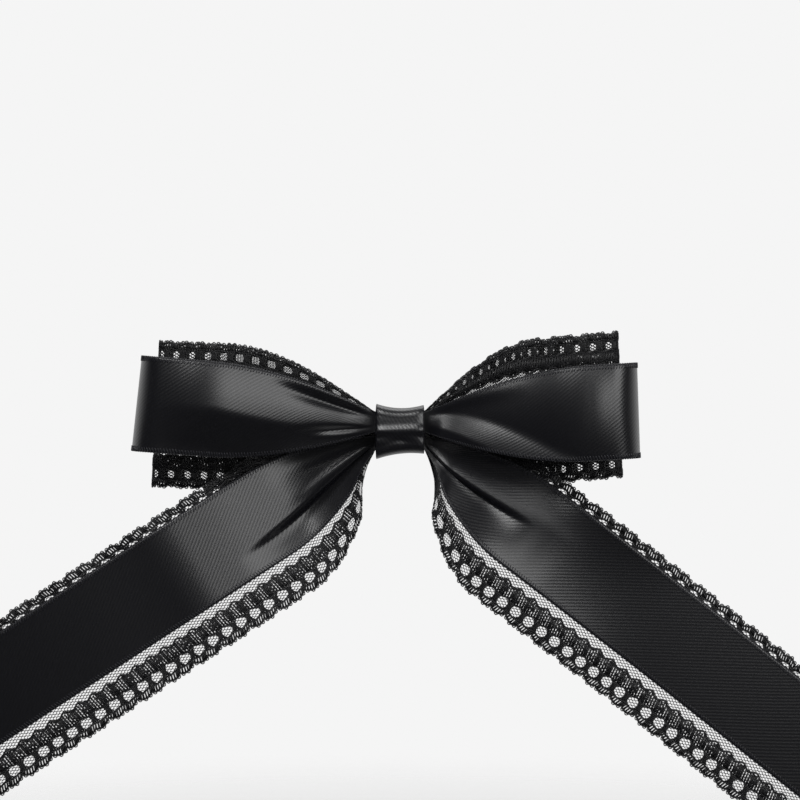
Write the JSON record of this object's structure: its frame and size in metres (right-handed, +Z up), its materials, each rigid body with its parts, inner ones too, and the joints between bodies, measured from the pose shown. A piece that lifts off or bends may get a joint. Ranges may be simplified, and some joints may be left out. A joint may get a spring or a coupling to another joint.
{
  "type": "hair bow",
  "caption": "Hair bow of looped satin and lace ribbons gathered by a knot band, with two hanging tails, on a sprung steel alligator clip",
  "frame": {"origin": "middle of the clip's grip, on the back face of the top plate behind the middle of the knot", "axes": "+X along the clip to its tip and to the right seen from the front, +Y to the back, towards the head, +Z up"},
  "size_m": [0.3301, 0.0347, 0.1685],
  "materials": {
    "satin": "blue-black twill-backed satin ribbon",
    "satin_tail": "blue-black twill-backed satin ribbon",
    "lace_tail": "black floral net lace",
    "lace": "black floral net lace",
    "thread": "waxed black thread",
    "knot_satin": "blue-black satin, folded",
    "glue": "cloudy hot-melt glue",
    "clip_steel": "bright nickel-plated steel",
    "jaw_steel": "bright nickel-plated steel",
    "pin_steel": "plain steel rivet",
    "spring_steel": "spring wire"
  },
  "bodies": {
    "bow": {"satin_loops": "satin", "satin_tails": "satin_tail", "lace_tails": "lace_tail", "lace_loops": "lace", "binding_thread": "thread", "knot_band": "knot_satin", "glue_pads": "glue", "clip_top_plate": "clip_steel", "hinge_pin": "pin_steel", "clip_spring": "spring_steel"},
    "jaw": {"clip_jaw": "jaw_steel"}
  },
  "joints": [
    {"name": "jaw_hinge", "type": "hinge", "parent": "bow", "child": "jaw", "pos_m": [-0.011, 0.003, 0], "axis": [0, 0, 1], "range_deg": [0, 28], "stiffness_Nm_per_rad": 0.002, "springref_deg": -20.05, "deforming": ["clip_spring"]}
  ]
}
